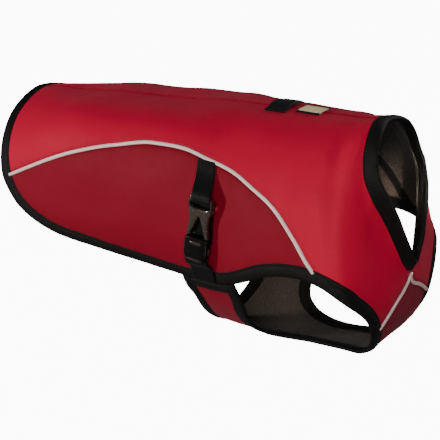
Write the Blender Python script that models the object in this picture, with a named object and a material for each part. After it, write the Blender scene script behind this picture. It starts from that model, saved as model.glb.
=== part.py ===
# Dog jacket in a softshell cloth, filled out to the shape it has when worn.
# The head end is at +X and the right side of the jacket is at -Y.
# Its origin lies on the inner face of the spine at the withers, where the wearer holds it up.
# All sizes and places are in millimetres, and turn to metres when a mesh is made.

import bpy
import numpy as np
from mathutils import Vector
from mathutils.geometry import delaunay_2d_cdt

for old in list(bpy.data.objects):
    bpy.data.objects.remove(old, do_unlink=True)

MM = 0.001
GAP = 0.3            # between two pieces at a seam
TAPE_GAP = 0.4       # between a panel and its binding, which stands out on both faces
CLOTH = 2.4          # softshell with its fleece backing
BINDING_WIDTH = 12.0
BINDING_OUT = 0.7    # a folded tape stands this far above the cloth and as far below it
PIPING_WIDTH = 5.0
PIPING_OUT = 0.9
ON_TOP = 0.8         # clearance of what lies on the cloth
RIDGE_GAP = 1.5      # between two ends that meet on the ridge of the chest, where the cloth folds
WING_GAP = 1.0       # between the hem and the top of the wing below it
WING_TAPE = 9.0
UPPER_WEBBING, LOWER_WEBBING = 20.0, 25.0
WEBBING = 1.8
EDGE_STEP = 7.0      # between the stations along an edge
PANEL_STEP = 14.0    # between the inner points of a panel
AROUND = 340.0       # about half a girth, to weigh ways round against ways along

# The rings of the body, each where it leaves the spine (the first column), with its lowest point,
# its half width, how low down it is widest, and how square it is above and below that.
RINGS = np.array([
    # spine x, spine z, belly x, belly z, half width, widest at, square above, square below
    (-340, -17, -350, -229, 84, .44, 1.9, 2.0),
    (-305, -13, -310, -229, 91, .44, 2.2, 1.9),
    (-210, -8, -210, -230, 97, .45, 3.8, 1.8),
    (-100, -2, -100, -230, 100, .47, 3.8, 1.7),
    (-55, 0, -48, -232, 102, .51, 2.9, 1.8),
    (-10, 2, 12, -231, 110, .55, 2.5, 2.0),
    (25, 3, 66, -230, 114, .60, 2.4, 1.8),
    (45, 4, 95, -214, 112, .67, 2.2, 2.5),
    (57, 4, 108, -191, 103, .70, 2.0, 2.5),
    (67, 5, 112, -166, 79, .60, 2.2, 1.8),
    (77, 5, 113, -148, 57, .45, 2.4, 1.3),
    (86, 4, 115, -137, 51, .37, 2.5, 1.2),
    (104, 2, 123, -127, 48, .30, 2.5, 1.3),
])

# Edges and seams of the right half. Each point has its ring, by where that leaves the spine,
# and its way round that ring, from 0 at the spine to 1 at the middle of the belly.
HEM = [(-330, 0), (-329, .035), (-326, .12), (-325, .20), (-322, .27), (-318, .342), (-314, .394),
       (-309, .45), (-302, .488), (-291, .53), (-279, .554), (-260, .578), (-239, .593),
       (-202, .607), (-164, .619), (-116, .634), (-90, .636), (-67, .619), (-46, .598), (-33, .578)]
PIPING = [(-318, .461), (-302, .438), (-272, .393), (-245, .357), (-218, .328), (-168, .291),
          (-121, .27), (-89, .271), (-60, .28), (-36, .29), (-12, .313), (10, .34), (27, .387),
          (35, .425), (42, .455), (48, .49), (52, .53)]
ARMHOLE = [(-33, .578), (-17, .542), (0, .502), (18, .475), (34, .463), (46, .473), (54, .515),
           (58, .59), (60, .67), (60, .735), (57, .785), (50, .838), (42, .876), (32, .902),
           (22, .914), (12, .919), (2, .919), (-8, .908), (-18, .89), (-26, .864), (-33, .835),
           (-36, .79), (-34, .73), (-31, .68), (-30, .64), (-32, .6), (-36, .55)]
CHEST_SEAM = [(86, 1.02), (80, 1.0), (75, .985), (70, .946), (66, .896), (62, .852), (58, .82), (52, .785)]
WING_REAR = [(-92, .6), (-92, .645), (-91, .688), (-87, .72), (-88, .77), (-90, .82), (-91, .865),
             (-93, .91), (-94, .95), (-94, 1.0)]
NECK = [(84, 0), (87, .1), (89, .22), (89, .35), (90, .43), (94, .52), (99, .62), (101, .74),
        (101, .86), (98, .95), (97, 1.0)]

# Straps and buckles of the right half. Profiles are right halves, read downward, in the buckle's
# own x and z, with z 0 in its middle.
UPPER_STRAP_U = (-60, -56)
UPPER_STRAP_START = .299
LOWER_STRAP_U = (-60, -57)
LOWER_STRAP_END = .625
BUCKLE_X, BUCKLE_BACK, BUCKLE_Z = -58.5, 102.8, -99.5
BUCKLE_DEPTH = 9.0
BUCKLE_TILT = np.radians(7)
MALE_TOP, FEMALE_LOW = 36.5, -30.5
UPPER_CLEAR, LOWER_CLEAR = 1.8, 1.0   # from the tilted buckle's ends to the straps' square ends
MALE = [(12.6, 36.5), (13.0, 30), (12.6, 25), (11.2, 19), (10.6, 12), (11.4, 3), (12.4, -4.5), (12.6, -7.5)]
FEMALE = [(12.8, -7.8), (13.0, -14), (12.7, -24), (11.2, -28.6), (7.6, -30.5)]
SLOT = [(10.4, 31.2), (10.4, 24.6)]
WINDOW = [(.8, 16.5), (7.0, -.5)]

# What is sewn across the spine: a light loop of webbing and a plain label ahead of it.
LOOP_U, LOOP_WIDTH, LOOP_LENGTH, LOOP_RISE = -27.0, 22.0, 40.0, 2.5
LOOP_GIRTH = 110.0   # half width of the body there
LABEL_U, LABEL_WIDTH, LABEL_LENGTH, LABEL = 4.0, 24.0, 25.0, .9


# The body's form and ways across it

def slopes(x, y):
    """Slopes that keep a curve through the rows of y free of overshoot."""
    run = np.diff(x)[:, None]
    rise = np.diff(y, axis=0) / run
    before, after = 2 * run[1:] + run[:-1], run[1:] + 2 * run[:-1]
    with np.errstate(divide="ignore", invalid="ignore"):
        mean = (before + after) / (before / rise[:-1] + after / rise[1:])
    inner = np.where(rise[1:] * rise[:-1] > 0, mean, 0.0)
    return np.vstack([rise[:1], inner, rise[-1:]])


def smooth(x, rows, at):
    """The rows, given at x, read smoothly at the places in at."""
    x, rows, at = np.asarray(x, float), np.asarray(rows, float), np.asarray(at, float)
    slope = slopes(x, rows)
    i = np.clip(np.searchsorted(x, at) - 1, 0, len(x) - 2)
    run = (x[i + 1] - x[i])[..., None]
    f = (at - x[i])[..., None] / run
    return ((1 + 2 * f) * (1 - f) ** 2 * rows[i] + f * (1 - f) ** 2 * run * slope[i]
            + f * f * (3 - 2 * f) * rows[i + 1] + f * f * (f - 1) * run * slope[i + 1])


def body(u, t):
    """A point on the outer face of the cloth, on ring u and a share t of the way round it."""
    u, t = np.broadcast_arrays(np.asarray(u, float), np.asarray(t, float))
    top_x, top_z, low_x, low_z, half, widest, up, low = np.moveaxis(smooth(RINGS[:, 0], RINGS, u), -1, 0)
    c, s = np.cos(np.pi * t), np.sin(np.pi * t)
    power = np.where(c > 0, up, low)
    r = (np.abs(c) ** power + np.abs(s) ** power) ** (-1 / power)
    height = r * np.abs(c)
    share = np.where(c > 0, widest * (1 - height), widest + (1 - widest) * height)
    return np.stack([top_x + (low_x - top_x) * share, -half * r * s, top_z + (low_z - top_z) * share], -1)


def ways(u, t):
    """How the body moves along the rings, round them and outward, at each point."""
    du, dt = 0.5, 0.002
    along = (body(u + du, t) - body(u - du, t)) / (2 * du)
    around = (body(u, t + dt) - body(u, t - dt)) / (2 * dt)
    out = np.cross(around, along)
    return along, around, out / np.linalg.norm(out, axis=-1, keepdims=True)


def path(points, spacing=EDGE_STEP):
    """A smooth way over the body through hand-set points, with a station at each spacing."""
    points = np.array(points, float)
    far = np.r_[0, np.cumsum(np.linalg.norm(np.diff(body(*points.T), axis=0), axis=1))]
    return smooth(far, points, np.linspace(0, far[-1], int(round(far[-1] / spacing)) + 1))


def across(way, distance, steps=3):
    """The way moved sideways over the body, to the left as one travels along it outside."""
    moved = way.copy()
    heading = np.gradient(body(*way.T), axis=0)
    for _ in range(steps):
        along, around, out = ways(*moved.T)
        side = np.cross(out, heading)
        side /= np.linalg.norm(side, axis=1, keepdims=True)
        aa, ab, bb = (along * along).sum(1), (along * around).sum(1), (around * around).sum(1)
        sa, sb = (side * along).sum(1), (side * around).sum(1)
        det = aa * bb - ab * ab
        moved += distance / steps * np.stack([(bb * sa - ab * sb) / det, (aa * sb - ab * sa) / det], 1)
    return moved


def meet(first, second):
    """Where two ways cross, as a place on each."""
    a, b = first[:-1, None], second[None, :-1]
    p, q = first[1:, None] - a, second[None, 1:] - b
    with np.errstate(divide="ignore", invalid="ignore"):
        det = p[..., 0] * q[..., 1] - p[..., 1] * q[..., 0]
        f = ((b - a)[..., 0] * q[..., 1] - (b - a)[..., 1] * q[..., 0]) / det
        g = ((b - a)[..., 0] * p[..., 1] - (b - a)[..., 1] * p[..., 0]) / det
        hit = (f >= 0) & (f < 1) & (g >= 0) & (g < 1)
    i, j = np.argwhere(hit)[0]
    return i + f[i, j], j + g[i, j]


def stretch(way, start, end):
    """The part of a way between two places on it, which may run backwards."""
    low, high = min(start, end), max(start, end)
    inner = np.arange(np.floor(low + 0.05) + 1, np.ceil(high - 0.05))
    places = np.r_[low, inner, high]
    part = np.stack([np.interp(places, np.arange(len(way)), way[:, k]) for k in (0, 1)], 1)
    return part if start <= end else part[::-1]


def outline(*borders):
    """The closed outline between ways that each cross the next."""
    corners = [meet(borders[k - 1], borders[k]) for k in range(len(borders))]
    parts = []
    for k, way in enumerate(borders):
        parts.append(stretch(way, corners[k][1], corners[(k + 1) % len(borders)][0])[:-1])
    return np.vstack(parts)


# Solids

def add_object(name, points, faces, material, flat_edges=50):
    """A mesh object from points in millimetres."""
    mesh = bpy.data.meshes.new(name)
    mesh.from_pydata((np.asarray(points) * MM).tolist(), [], faces)
    mesh.shade_smooth()
    mesh.set_sharp_from_angle(angle=np.radians(flat_edges))
    mesh.materials.append(material)
    thing = bpy.data.objects.new(name, mesh)
    bpy.context.collection.objects.link(thing)
    return thing


def fill(edge, spacing):
    """Triangles over a closed outline, with inner points at the spacing."""
    flat = edge * (1, AROUND)
    inner = np.zeros((0, 2))
    if spacing:
        low, high = flat.min(0), flat.max(0)
        rows = np.arange(low[1] + spacing / 2, high[1], spacing * 0.87)
        grid = [(x + spacing / 2 * (k % 2), y) for k, y in enumerate(rows)
                for x in np.arange(low[0] + spacing / 4, high[0], spacing)]
        inner = np.array(grid)
        a, b = flat, np.roll(flat, -1, axis=0)
        share = ((inner[:, None] - a) * (b - a)).sum(2) / ((b - a) ** 2).sum(1)
        nearest = a + np.clip(share, 0, 1)[..., None] * (b - a)
        clear = np.linalg.norm(inner[:, None] - nearest, axis=2).min(1)
        inner = inner[clear > spacing * 0.45]
    n = len(flat)
    sides = [(k, (k + 1) % n) for k in range(n)]
    points, _, faces, *_ = delaunay_2d_cdt([Vector(p) for p in np.vstack([flat, inner])], sides,
                                           [list(range(n))], 1, 1e-5)
    used = sorted({v for face in faces for v in face})
    index = {v: k for k, v in enumerate(used)}
    places = np.array([points[v] for v in used]) / (1, AROUND)
    return places, [[index[v] for v in face] for face in faces]


def sheet(name, edge, low, high, material, spacing=None, side=1):
    """A wall over an outline, from low to high above the outer face of the cloth.

    low and high are heights, or functions of ring and way round. Side -1 gives the mirror image.
    """
    places, faces = fill(edge, spacing)
    u, t = places.T
    on_body, (_, _, out) = body(u, t), ways(u, t)
    low, high = [(h(u, t) if callable(h) else np.full(len(u), h))[:, None] for h in (low, high)]
    points = np.vstack([on_body + out * high, on_body + out * low]) * (1, side, 1)
    turned = []
    for face in faces:
        a, b, c = places[face[:3]]
        anticlockwise = (b - a)[0] * (c - a)[1] - (b - a)[1] * (c - a)[0] > 0
        turned.append(face[::-1] if anticlockwise == (side > 0) else face)
    n = len(places)
    walks = {(face[k - 1], face[k]) for face in turned for k in range(len(face))}
    rank = places @ (1, AROUND * 0.62)
    rim = []
    for a, b in sorted(walks):
        if (b, a) in walks:
            continue
        # Neighbours share the way these are split, so that their twisted edges nest.
        rim += [(b, a, b + n), (a, a + n, b + n)] if rank[a] < rank[b] else [(b, a, a + n), (b, a + n, b + n)]
    return add_object(name, points, turned + [[v + n for v in face[::-1]] for face in turned] + rim, material)


def cloth(name, edge, material, side=1):
    return sheet(name, edge, -CLOTH, 0, material, PANEL_STEP, side)


def tape(name, edge, material, side=1):
    return sheet(name, edge, -CLOTH - BINDING_OUT, BINDING_OUT, material, None, side)


# Materials

def finish(name, colour, roughness):
    material = bpy.data.materials.new(name)
    material.use_nodes = True
    shader = material.node_tree.nodes["Principled BSDF"]
    shader.inputs["Base Color"].default_value = (*colour, 1)
    shader.inputs["Roughness"].default_value = roughness
    return material


# Buckle

def prism(name, profile, back, front, material, side):
    """A plate in the XZ plane, from back to front away from the body."""
    n = len(profile)
    points = [(x, -y * side, z) for y in (front, back) for x, z in profile]
    faces = [list(range(n)), list(range(n, 2 * n))[::-1]]
    faces += [(k, k + n, (k + 1) % n + n, (k + 1) % n) for k in range(n)]
    if side < 0:
        faces = [face[::-1] for face in faces]
    return add_object(name, points, faces, material, 30)


def both_ways(half):
    """A closed profile from its right half, read downward."""
    return [(-x, z) for x, z in half] + [(x, z) for x, z in reversed(half)]


def cut(thing, profile, side):
    cutter = prism(thing.name + "_cutter", profile, -5, BUCKLE_DEPTH + 5, thing.data.materials[0], side)
    cutter.parent = thing
    cutter.hide_render = True
    cutter.display_type = "WIRE"
    modifier = thing.modifiers.new("Cut", "BOOLEAN")
    modifier.object = cutter
    modifier.solver = "EXACT"


def soften(thing, width):
    modifier = thing.modifiers.new("Soft edges", "BEVEL")
    modifier.width = width * MM
    modifier.segments = 2
    modifier.limit_method = "ANGLE"


# The edges and seams as ways over the body, right half, with a station every few millimetres

right_edge = path(HEM + ARMHOLE[1:])
edge = np.vstack([right_edge[:0:-1] * (1, -1), right_edge])
spine_station = len(right_edge) - 1
from_corner = np.linalg.norm((right_edge - HEM[-1]) * (1, AROUND), axis=1)
corner_station = spine_station + int(np.argmin(from_corner[:len(right_edge) * 3 // 4]))
tape_line, cloth_line = across(edge, BINDING_WIDTH), across(edge, BINDING_WIDTH + TAPE_GAP)
rear_line = cloth_line[spine_station - 1:corner_station + 1]
armhole_line = cloth_line[corner_station:]

spine_line = across(path([(-340, 0), (90, 0)]), -GAP / 2)
centre_line = across(path([(-110, 1), (103, 1)]), RIDGE_GAP / 2)
half_neck = NECK + [(u, 2 - t) for u, t in NECK[-2:-4:-1]]
neck_edge = path(half_neck[::-1] + [(u, -t) for u, t in half_neck[1:]])
neck_tape, neck_line = across(neck_edge, BINDING_WIDTH), across(neck_edge, BINDING_WIDTH + TAPE_GAP)
side_seam, chest_seam = path(PIPING), path(CHEST_SEAM)
half_piping = PIPING_WIDTH / 2

wing_top = path(HEM[-6:] + [(-20, .565)])
wing_tape_top = across(wing_top, -WING_GAP)
wing_tape_low = across(wing_top, -WING_GAP - WING_TAPE)
wing_cloth_top = across(wing_top, -WING_GAP - WING_TAPE - TAPE_GAP)
wing_rear = path(WING_REAR + [(u, 2 - t) for u, t in WING_REAR[-2::-1]])
wing_rear_tape, wing_rear_line = across(wing_rear, BINDING_WIDTH), across(wing_rear, BINDING_WIDTH + TAPE_GAP)


def left(way):
    """The way's mirror image, reached round the spine."""
    return way * (1, -1)


def below_left(way):
    """The way's mirror image, reached round the belly."""
    return way * (1, -1) + (0, 2)


def joint(station, shift):
    """A short way straight across the binding, a little before or after a place on the edge."""
    place = np.arange(len(edge))
    ends = [across(edge, distance) for distance in (-5, BINDING_WIDTH + 5)]
    return np.array([[np.interp(station + shift, place, end[:, k]) for k in (0, 1)] for end in ends])


# Materials

bright_cloth = finish("bright_red_cloth", (.50, .012, .035), .6)
deep_cloth = finish("deep_red_cloth", (.26, .010, .022), .6)
black_tape = finish("black_binding", (.012, .011, .011), .8)
pale_piping = finish("reflective_piping", (.85, .62, .58), .4)
black_webbing = finish("black_webbing", (.010, .010, .010), .75)
black_plastic = finish("black_plastic", (.015, .013, .012), .25)
label_cloth = finish("label_cloth", (.70, .55, .15), .6)

# Panels and their trims, on the right and the left

joint_place = corner_station + 0.5
joint_gap = GAP / 2 / EDGE_STEP
hem_end, armhole_start = joint(joint_place, -joint_gap), joint(joint_place, joint_gap)
belly_seam = across(chest_seam, half_piping + GAP)
under_seam = across(side_seam, -half_piping - GAP)
tail_place, front_place = meet(under_seam, rear_line), meet(under_seam, armhole_line)
side_outline = np.vstack([
    stretch(under_seam, tail_place[0], front_place[0])[:-1],
    stretch(cloth_line, corner_station + front_place[1], spine_station - 1 + tail_place[1])[:-1]])

for side_name, side in (("right", 1), ("left", -1)):
    cloth("back_panel_" + side_name,
          outline(rear_line, spine_line, neck_line, across(chest_seam, -half_piping - GAP), armhole_line,
                  across(side_seam, half_piping + GAP)), bright_cloth, side)
    cloth("side_panel_" + side_name, side_outline, deep_cloth, side)
    sheet("side_piping_" + side_name,
          outline(across(side_seam, half_piping), armhole_line, across(side_seam, -half_piping), rear_line),
          -CLOTH, PIPING_OUT, pale_piping, None, side)
    sheet("chest_piping_" + side_name,
          outline(across(chest_seam, -half_piping), neck_line, centre_line,
                  across(chest_seam, half_piping), armhole_line),
          -CLOTH, PIPING_OUT, pale_piping, None, side)
    tape("armhole_binding_" + side_name,
         outline(edge[corner_station:], wing_tape_top, tape_line[corner_station:], armhole_start),
         black_tape, side)
    tape("wing_top_binding_" + side_name,
         outline(wing_tape_top, armhole_line, wing_tape_low, wing_rear_line), black_tape, side)

cloth("belly_panel",
      outline(belly_seam, armhole_line, wing_cloth_top, wing_rear_line, below_left(wing_cloth_top),
              below_left(armhole_line), below_left(belly_seam)), deep_cloth)
tape("belly_rear_binding",
     outline(wing_rear, wing_tape_top, wing_rear_tape, below_left(wing_tape_top)), black_tape)
tape("hem_binding", outline(edge, hem_end, tape_line, left(hem_end)), black_tape)
tape("neck_binding", outline(neck_edge, left(centre_line), neck_tape, centre_line), black_tape)

# Straps and buckles


def at_height(u, z):
    """The way round ring u at which the body's side comes down to a height."""
    round_half = np.linspace(0, 1, 401)
    return float(np.interp(-z, -body(u, round_half)[:, 2], round_half))


def band(way, width):
    return np.vstack([across(way, width / 2), across(way, -width / 2)[::-1]])


def webbing(name, way, width, places, lifts, side):
    """A strap on the body, its underside lifted off the cloth by the given heights."""
    def low(u, t):
        return np.interp(t, places, lifts)

    def high(u, t):
        return low(u, t) + WEBBING
    sheet(name, band(way, width), low, high, black_webbing, None, side)


def side_lift(u, t):
    """How far the body's side lies inside the middle of the buckle, less half the webbing."""
    return BUCKLE_BACK + BUCKLE_DEPTH / 2 + body(u, t)[1] - WEBBING / 2


for side_name, side in (("right", 1), ("left", -1)):
    top_u, top_t = UPPER_STRAP_U[0], UPPER_STRAP_START
    end_u, end_t = UPPER_STRAP_U[1], at_height(UPPER_STRAP_U[1], BUCKLE_Z + MALE_TOP + UPPER_CLEAR)
    webbing("upper_webbing_" + side_name, path([(top_u, top_t), (end_u, end_t)]), UPPER_WEBBING,
            (top_t, end_t), (ON_TOP, side_lift(end_u, end_t)), side)
    start_u, start_t = LOWER_STRAP_U[0], at_height(LOWER_STRAP_U[0], BUCKLE_Z + FEMALE_LOW - LOWER_CLEAR)
    on_tape = ON_TOP + BINDING_OUT
    webbing("lower_webbing_" + side_name, path([(start_u, start_t), (LOWER_STRAP_U[1], LOWER_STRAP_END)]),
            LOWER_WEBBING,
            (start_t, start_t + .04, LOWER_STRAP_END), (side_lift(start_u, start_t), on_tape, on_tape), side)

    male = prism("buckle_male_" + side_name, both_ways(MALE), 0, BUCKLE_DEPTH, black_plastic, side)
    female = prism("buckle_female_" + side_name, both_ways(FEMALE), 0, BUCKLE_DEPTH, black_plastic, side)
    for thing in (male, female):
        thing.location = Vector((BUCKLE_X, -BUCKLE_BACK * side, BUCKLE_Z)) * MM
        thing.rotation_euler.y = BUCKLE_TILT
        soften(thing, 1.0)
    cut(male, both_ways(SLOT), side)
    cut(male, both_ways(WINDOW), side)

# What is sewn across the spine

loop_half = LOOP_LENGTH / 2 / (np.pi * LOOP_GIRTH)
loop_way = path([(LOOP_U, -loop_half), (LOOP_U, loop_half)], 5)


def loop_low(u, t):
    return ON_TOP + LOOP_RISE * (1 - (t / loop_half) ** 2)


def loop_high(u, t):
    return loop_low(u, t) + WEBBING


sheet("light_loop", band(loop_way, LOOP_WIDTH), loop_low, loop_high, black_webbing)
label_half = LABEL_LENGTH / 2 / (np.pi * LOOP_GIRTH)
label_way = path([(LABEL_U, -label_half), (LABEL_U, label_half)], 5)
sheet("label", band(label_way, LABEL_WIDTH), ON_TOP, ON_TOP + LABEL, label_cloth)
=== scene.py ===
# Dog jacket in softshell cloth, filled out as it is worn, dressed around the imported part.
# The head end is at +X and the right side of the jacket, which the camera sees, is at -Y.
# Tables of sizes are in millimetres, and a mesh is made in metres.

import bmesh
import bpy
import numpy as np
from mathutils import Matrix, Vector


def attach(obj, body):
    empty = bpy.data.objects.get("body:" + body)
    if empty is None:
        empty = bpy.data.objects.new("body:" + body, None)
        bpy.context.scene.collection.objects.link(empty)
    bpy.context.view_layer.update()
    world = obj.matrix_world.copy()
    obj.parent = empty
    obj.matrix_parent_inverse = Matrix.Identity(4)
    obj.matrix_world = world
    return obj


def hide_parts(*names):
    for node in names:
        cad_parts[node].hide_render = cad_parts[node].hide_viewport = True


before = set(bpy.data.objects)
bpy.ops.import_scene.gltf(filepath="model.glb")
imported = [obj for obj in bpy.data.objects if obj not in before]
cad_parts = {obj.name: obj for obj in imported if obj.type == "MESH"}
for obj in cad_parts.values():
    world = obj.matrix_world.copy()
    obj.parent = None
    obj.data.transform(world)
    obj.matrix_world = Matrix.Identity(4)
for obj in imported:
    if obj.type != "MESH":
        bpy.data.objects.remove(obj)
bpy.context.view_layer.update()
MM = 0.001

# The view, the floor and the lights.
# The camera looks down on the jacket's right and front, over a plain floor. A small lamp low on the
# left gives the shadows, broad ones fill them, and two faint beams reach the neck and the shoulder.

TARGET = Vector((-0.100, 0.0, -0.129))
AZIMUTH, ELEVATION, DISTANCE = np.radians(30.9), np.radians(20.0), 1.4183
FOCAL_PIXELS, IMAGE_PIXELS, SENSOR = 1377, 440, 36.0
FLOOR_Z, FLOOR_HALF, FLOOR_GLOW = -0.36, 6.0, 11.0


def towards(azimuth, elevation):
    """A unit vector from the jacket, azimuth 0 at its right side, turning to the head."""
    level = np.cos(elevation)
    return Vector((np.sin(azimuth) * level, -np.cos(azimuth) * level, np.sin(elevation)))


view = bpy.data.cameras.new("view")
view.sensor_width = SENSOR
view.lens = SENSOR * FOCAL_PIXELS / IMAGE_PIXELS
camera = bpy.data.objects.new("view", view)
camera.location = TARGET + DISTANCE * towards(AZIMUTH, ELEVATION)
camera.rotation_euler = towards(AZIMUTH, ELEVATION).to_track_quat("Z", "Y").to_euler()
bpy.context.scene.collection.objects.link(camera)
bpy.context.scene.camera = camera

IN_NECK, ON_SHOULDER = Vector((0.074, 0.0737, -0.084)), Vector((0.090, -0.040, -0.088))
LAMPS = [
    # name, azimuth, elevation, distance, width, watts, colour, where it looks, spread in degrees
    ("key", -37, 12, 1.7, 0.14, 22, (1.0, 0.97, 0.94), TARGET, 180),
    ("front_fill", 24, 20, 2.4, 0.9, 35, (1.0, 0.97, 0.95), TARGET, 180),
    ("sky", 20, 80, 2.2, 2.0, 4, (0.75, 0.80, 1.0), TARGET, 180),
    ("neck_light", 34, 20, 1.2, 0.04, 0.030, (1.0, 0.90, 0.80), IN_NECK, 3),
    ("shoulder_light", 40, 20, 1.2, 0.14, 0.024, (1.0, 0.97, 0.95), ON_SHOULDER, 6),
    ("far_fill", 160, 25, 2.2, 1.2, 15, (1.0, 1.0, 1.0), TARGET, 180),
]
for name, azimuth, elevation, distance, width, watts, colour, aim, spread in LAMPS:
    light = bpy.data.lights.new(name, "AREA")
    light.size, light.energy, light.color = width, watts, colour
    light.spread = np.radians(spread)
    lamp = bpy.data.objects.new(name, light)
    way = towards(np.radians(azimuth), np.radians(elevation))
    lamp.location = aim + distance * way
    lamp.rotation_euler = way.to_track_quat("Z", "Y").to_euler()
    bpy.context.scene.collection.objects.link(lamp)

world = bpy.data.worlds.new("studio")
world.use_nodes = True
sky = world.node_tree.nodes["Background"].inputs
sky["Color"].default_value = (0.90, 0.93, 1.0, 1)
sky["Strength"].default_value = 0.06
bpy.context.scene.world = world

# The floor's white glow is for the camera alone, so that it doesn't light the jacket.
floor_mesh = bpy.data.meshes.new("floor")
corners = [(x * FLOOR_HALF, y * FLOOR_HALF, FLOOR_Z) for x, y in ((-1, -1), (1, -1), (1, 1), (-1, 1))]
floor_mesh.from_pydata(corners, [], [(0, 1, 2, 3)])
floor = bpy.data.objects.new("floor", floor_mesh)
bpy.context.scene.collection.objects.link(floor)
floor_paint = bpy.data.materials.new("floor_paint")
floor_paint.use_nodes = True
floor_nodes = floor_paint.node_tree
floor_shader = floor_nodes.nodes["Principled BSDF"]
floor_shader.inputs["Base Color"].default_value = (0.26, 0.26, 0.27, 1)
floor_shader.inputs["Roughness"].default_value = 0.9
floor_shader.inputs["Emission Color"].default_value = (1, 1, 1, 1)
seen = floor_nodes.nodes.new("ShaderNodeLightPath")
glow = floor_nodes.nodes.new("ShaderNodeMath")
glow.operation = "MULTIPLY"
glow.inputs[1].default_value = FLOOR_GLOW
floor_nodes.links.new(seen.outputs["Is Camera Ray"], glow.inputs[0])
floor_nodes.links.new(glow.outputs[0], floor_shader.inputs["Emission Strength"])
floor_mesh.materials.append(floor_paint)

# The back panels.
# Two mirrored panels of bright red softshell, cut from the spine seam down to the side piping and
# round the front of the armhole to the chest. They are sewn together along the spine.

# The rings of the body, each where it leaves the spine (the first column), with its lowest point,
# its half width, how low down it is widest, and how square it is above and below that.
RINGS = np.array([
    # spine x, spine z, belly x, belly z, half width, widest at, square above, square below
    (-340, -17, -350, -229, 84, .44, 1.9, 2.0),
    (-305, -13, -310, -229, 91, .44, 2.2, 1.9),
    (-210, -8, -210, -230, 97, .45, 3.8, 1.8),
    (-100, -2, -100, -230, 100, .47, 3.8, 1.7),
    (-55, 0, -48, -232, 102, .51, 2.9, 1.8),
    (-10, 2, 12, -231, 110, .55, 2.5, 2.0),
    (25, 3, 66, -230, 114, .60, 2.4, 1.8),
    (45, 4, 95, -214, 112, .67, 2.2, 2.5),
    (57, 4, 108, -191, 103, .70, 2.0, 2.5),
    (67, 5, 112, -166, 79, .60, 2.2, 1.8),
    (77, 5, 113, -148, 57, .45, 2.4, 1.3),
    (86, 4, 115, -137, 51, .37, 2.5, 1.2),
    (104, 2, 123, -127, 48, .30, 2.5, 1.3),
])

# Edges and seams of the right half. Each point has its ring, by where that leaves the spine,
# and its way round that ring, from 0 at the spine to 1 at the middle of the belly.
HEM = [(-330, 0), (-329, .035), (-326, .12), (-325, .20), (-322, .27), (-318, .342), (-314, .394),
       (-309, .45), (-302, .488), (-291, .53), (-279, .554), (-260, .578), (-239, .593),
       (-202, .607), (-164, .619), (-116, .634), (-90, .636), (-67, .619), (-46, .598), (-33, .578)]
PIPING = [(-318, .461), (-302, .438), (-272, .393), (-245, .357), (-218, .328), (-168, .291),
          (-121, .27), (-89, .271), (-60, .28), (-36, .29), (-12, .313), (10, .34), (27, .387),
          (35, .425), (42, .455), (48, .49), (52, .53)]
ARMHOLE = [(-33, .578), (-17, .542), (0, .502), (18, .475), (34, .463), (46, .473), (54, .515),
           (58, .59), (60, .67), (60, .735), (57, .785), (50, .838), (42, .876), (32, .902),
           (22, .914), (12, .919), (2, .919), (-8, .908), (-18, .89), (-26, .864), (-33, .835),
           (-36, .79), (-34, .73), (-31, .68), (-30, .64), (-32, .6), (-36, .55)]
CHEST_SEAM = [(86, 1.02), (80, 1.0), (75, .985), (70, .946), (66, .896), (62, .852), (58, .82), (52, .785)]
WING_REAR = [(-92, .6), (-92, .645), (-91, .688), (-87, .72), (-88, .77), (-90, .82), (-91, .865),
             (-93, .91), (-94, .95), (-94, 1.0)]
NECK = [(84, 0), (87, .1), (89, .22), (89, .35), (90, .43), (94, .52), (99, .62), (101, .74),
        (101, .86), (98, .95), (97, 1.0)]

CLOTH = 2.4          # softshell with its fleece backing
GAP = 0.3            # between two pieces at a seam
BINDING_WIDTH = 12.0
PIPING_WIDTH = 5.0
UNDER_TAPE = 2.0     # how far the cloth reaches under a binding
SEAM_IN = PIPING_WIDTH / 2 - 1.0     # from a piping's middle to the edge of the cloth under it
HALF_GIRTH = 340.0   # of a usual ring; it makes mm of a share of the way round
CELL = 3.2           # of the cloth's grid
FINE = 400           # stations of a way when it is read at shares of its length
TURN = 6.28          # a whole turn, within which a wave's start is drawn


def smooth(x, rows, at):
    """The rows, given at x, read at the places in at by cubics whose slopes keep free of overshoot."""
    x, rows, at = np.asarray(x, float), np.asarray(rows, float), np.asarray(at, float)
    run = np.diff(x)[:, None]
    rise = np.diff(rows, axis=0) / run
    before, after = 2 * run[1:] + run[:-1], run[1:] + 2 * run[:-1]
    with np.errstate(divide="ignore", invalid="ignore"):
        mean = (before + after) / (before / rise[:-1] + after / rise[1:])
    slope = np.vstack([rise[:1], np.where(rise[1:] * rise[:-1] > 0, mean, 0.0), rise[-1:]])
    i = np.clip(np.searchsorted(x, at) - 1, 0, len(x) - 2)
    span = (x[i + 1] - x[i])[..., None]
    f = (at - x[i])[..., None] / span
    return ((1 + 2 * f) * (1 - f) ** 2 * rows[i] + f * (1 - f) ** 2 * span * slope[i]
            + f * f * (3 - 2 * f) * rows[i + 1] + f * f * (f - 1) * span * slope[i + 1])


def body(u, t):
    """A point on the cloth's outer face before it creases: ring u, a share t of the way round.

    A ring is a squared ellipse, |cos|^n + |sin|^n = 1, with one n above its widest place and
    another below, in a plane from the spine to the belly. A negative t is on the left.
    """
    u, t = np.broadcast_arrays(np.asarray(u, float), np.asarray(t, float))
    top_x, top_z, low_x, low_z, half, widest, up, low = np.moveaxis(smooth(RINGS[:, 0], RINGS, u), -1, 0)
    c, s = np.cos(np.pi * t), np.sin(np.pi * t)
    power = np.where(c > 0, up, low)
    r = (np.abs(c) ** power + np.abs(s) ** power) ** (-1 / power)
    height = r * np.abs(c)
    share = np.where(c > 0, widest * (1 - height), widest + (1 - widest) * height)
    return np.stack([top_x + (low_x - top_x) * share, -half * r * s, top_z + (low_z - top_z) * share], -1)


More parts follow.
